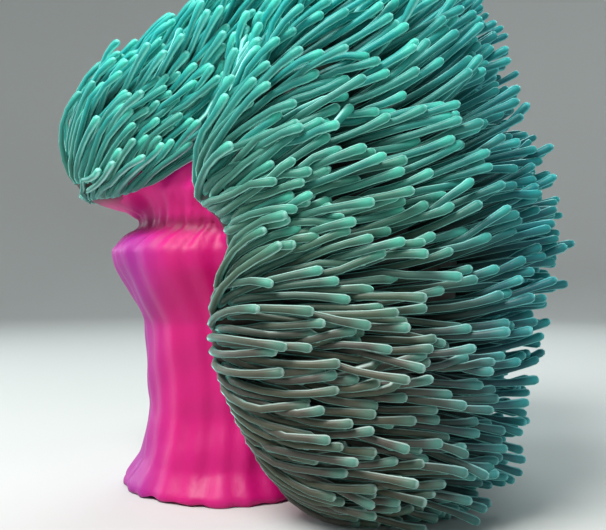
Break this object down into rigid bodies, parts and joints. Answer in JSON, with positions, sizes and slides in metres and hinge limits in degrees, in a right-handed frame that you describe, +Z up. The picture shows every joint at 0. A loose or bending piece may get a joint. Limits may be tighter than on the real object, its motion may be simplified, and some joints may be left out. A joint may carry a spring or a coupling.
{
  "type": "magnificent sea anemone",
  "caption": "Life-size sea anemone with a smooth column on a flat foot, a broad disc thrown over to one side with a lobed margin, finger-shaped tentacles and an oval mouth.",
  "frame": {"origin": "middle of the foot, on the floor", "axes": "+Z up, +X the way the disc is thrown over and the mouth faces, so that -Y is the animal's right side"},
  "size_m": [0.3859, 0.3642, 0.4173],
  "materials": {
    "column_flesh": "smooth, moist magenta flesh",
    "tentacle_flesh": "moist translucent green tentacles",
    "mouth_flesh": "moist pale yellow-green flesh"
  },
  "bodies": {
    "root": {"pedal_disc": "column_flesh", "column_base": "column_flesh", "column_middle": "column_flesh", "column_fold": "column_flesh", "column_neck": "column_flesh", "disc_upper_lobe": "tentacle_flesh", "disc_left_upper": "tentacle_flesh", "disc_left_middle": "tentacle_flesh", "disc_left_lower": "tentacle_flesh", "disc_right_upper": "tentacle_flesh", "disc_right_middle": "tentacle_flesh", "disc_right_lower": "tentacle_flesh", "mouth_plate": "mouth_flesh", "mouth_lips": "mouth_flesh"}
  },
  "joints": []
}
